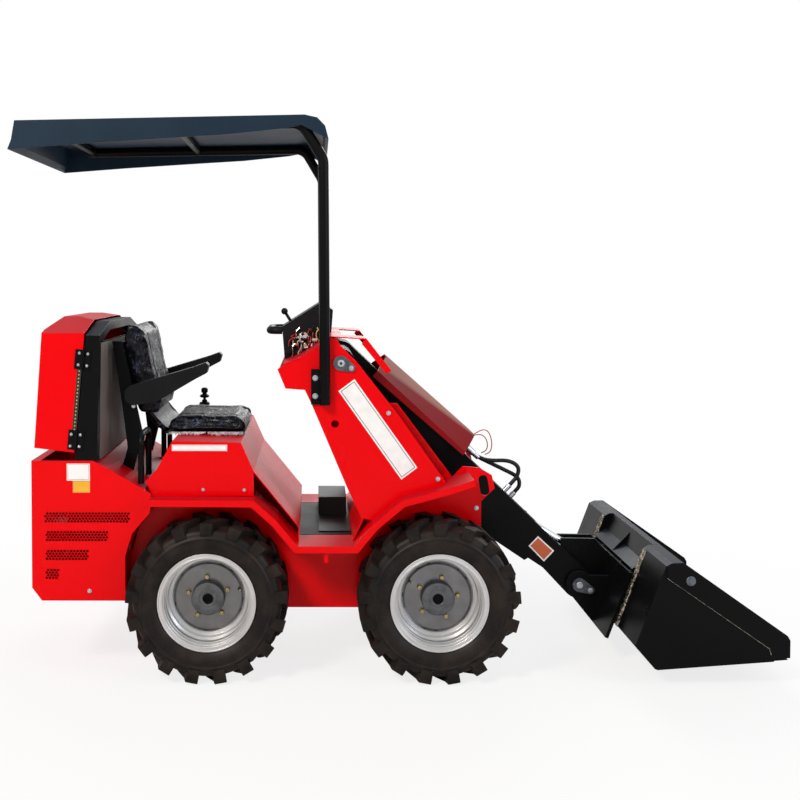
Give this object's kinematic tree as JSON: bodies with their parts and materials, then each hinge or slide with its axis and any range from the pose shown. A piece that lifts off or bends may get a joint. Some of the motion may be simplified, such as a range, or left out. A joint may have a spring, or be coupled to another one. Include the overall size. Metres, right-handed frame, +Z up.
{
  "type": "ride-on skid steer loader",
  "caption": "Compact ride-on skid steer loader with a single radial lift arm, quick coupler, bucket, open operator seat and canopy.",
  "frame": {"origin": "on the ground under the middle of the machine's overall length and width", "axes": "+X forward, +Y to the machine's left, +Z up"},
  "size_m": [2.731, 1.08, 1.994],
  "materials": {
    "red_paint": "gloss powder coat",
    "black_paint": "satin powder coat",
    "grey_paint": "satin paint",
    "black_plastic": "matt moulded",
    "seat_vinyl": "vinyl under clear film",
    "zinc_steel": "zinc plated",
    "chrome_rod": "hard chrome",
    "hose_rubber": "matt",
    "tyre_rubber": "matt",
    "wheel_silver": "silver paint"
  },
  "bodies": {
    "chassis": {"chassis_frame": "red_paint", "fenders": "red_paint", "floor_plate": "black_paint", "foot_rest": "black_plastic", "tower_sides": "red_paint", "tower_shield": "red_paint", "tower_hood": "red_paint", "dash_console": "black_plastic", "dash_controls": "black_plastic", "seat_console": "red_paint", "seat_frame": "black_paint", "seat_cushion": "seat_vinyl", "seat_back": "seat_vinyl", "armrest_pins": "zinc_steel", "grab_hoops": "black_paint", "joystick": "black_plastic", "engine_bay": "red_paint", "vent_screens": "red_paint", "engine": "black_paint", "hood_pillars": "black_paint", "hood_crossbar": "black_paint", "firewall": "grey_paint", "hood_screen": "black_paint", "hinge_leaves": "black_paint", "canopy_roof": "black_plastic", "canopy_posts": "black_paint", "canopy_cross_tubes": "black_paint", "frame_pins": "zinc_steel", "axle_hubs": "black_paint"},
    "hood_door": {"engine_hood": "red_paint", "hinge_knuckles": "black_paint"},
    "right_armrest": {"armrest_right": "black_plastic"},
    "left_armrest": {"armrest_left": "black_plastic"},
    "lift_arm": {"boom": "black_paint", "boom_cowl": "red_paint", "hose_fittings": "zinc_steel", "boom_hoses": "hose_rubber", "loom_wires": "hose_rubber"},
    "lift_cylinder": {"lift_barrel": "black_paint"},
    "lift_piston": {"lift_rod": "chrome_rod"},
    "tilt_cylinder": {"tilt_barrel": "black_paint"},
    "tilt_piston": {"tilt_rod": "chrome_rod"},
    "tool": {"coupler": "black_paint", "bucket": "black_paint", "cutting_edge": "black_paint"},
    "rear_right_wheel": {"tyre_rear_right": "tyre_rubber", "wheel_rear_right": "wheel_silver"},
    "rear_left_wheel": {"tyre_rear_left": "tyre_rubber", "wheel_rear_left": "wheel_silver"},
    "front_right_wheel": {"tyre_front_right": "tyre_rubber", "wheel_front_right": "wheel_silver"},
    "front_left_wheel": {"tyre_front_left": "tyre_rubber", "wheel_front_left": "wheel_silver"}
  },
  "joints": [
    {"name": "boom_lift", "type": "hinge", "parent": "chassis", "child": "lift_arm", "pos_m": [-0.1915, 0, 1.117], "axis": [0, -1, 0], "range_deg": [-2, 75]},
    {"name": "bucket_tilt", "type": "hinge", "parent": "lift_arm", "child": "tool", "pos_m": [0.73416, 0, 0.24165], "axis": [0, -1, 0], "range_deg": [-105, 20]},
    {"name": "lift_barrel_swing", "type": "hinge", "parent": "chassis", "child": "lift_cylinder", "pos_m": [0.0275, 0, 0.3], "axis": [0, -1, 0], "range_deg": [-17, 1]},
    {"name": "lift_rod_slide", "type": "slide", "parent": "lift_cylinder", "child": "lift_piston", "axis": [-0.2197, 0, 0.9756], "range_m": [-0.009, 0.205]},
    {"name": "tilt_barrel_swing", "type": "hinge", "parent": "lift_arm", "child": "tilt_cylinder", "pos_m": [0.24946, 0, 0.65183], "axis": [0, -1, 0], "range_deg": [-3.2, 0.7]},
    {"name": "tilt_rod_slide", "type": "slide", "parent": "tilt_cylinder", "child": "tilt_piston", "axis": [0.851, 0, -0.5252], "range_m": [-0.035, 0.18]},
    {"name": "hood_swing", "type": "hinge", "parent": "chassis", "child": "hood_door", "pos_m": [-1.12082, -0.4263, 0.99], "axis": [0.0896, 0, 0.996], "range_deg": [0, 100]},
    {"name": "right_armrest_flip", "type": "hinge", "parent": "chassis", "child": "right_armrest", "pos_m": [-0.9625, -0.27, 0.99], "axis": [0, -1, 0], "range_deg": [0, 80]},
    {"name": "left_armrest_flip", "type": "hinge", "parent": "chassis", "child": "left_armrest", "pos_m": [-0.9625, 0.27, 0.99], "axis": [0, -1, 0], "range_deg": [0, 80]},
    {"name": "rear_right_wheel_spin", "type": "hinge", "parent": "chassis", "child": "rear_right_wheel", "pos_m": [-0.6625, -0.412, 0.285], "axis": [0, 1, 0], "continuous": true},
    {"name": "rear_left_wheel_spin", "type": "hinge", "parent": "chassis", "child": "rear_left_wheel", "pos_m": [-0.6625, 0.412, 0.285], "axis": [0, 1, 0], "continuous": true},
    {"name": "front_right_wheel_spin", "type": "hinge", "parent": "chassis", "child": "front_right_wheel", "pos_m": [0.1525, -0.412, 0.285], "axis": [0, 1, 0], "continuous": true},
    {"name": "front_left_wheel_spin", "type": "hinge", "parent": "chassis", "child": "front_left_wheel", "pos_m": [0.1525, 0.412, 0.285], "axis": [0, 1, 0], "continuous": true}
  ],
  "couplings": [
    {"joint": "lift_barrel_swing", "follows": "boom_lift", "ratio": -0.215},
    {"joint": "lift_rod_slide", "follows": "boom_lift", "m_per_rad": 0.156},
    {"joint": "tilt_barrel_swing", "follows": "bucket_tilt", "ratio": 0.03},
    {"joint": "tilt_rod_slide", "follows": "bucket_tilt", "m_per_rad": -0.098}
  ]
}
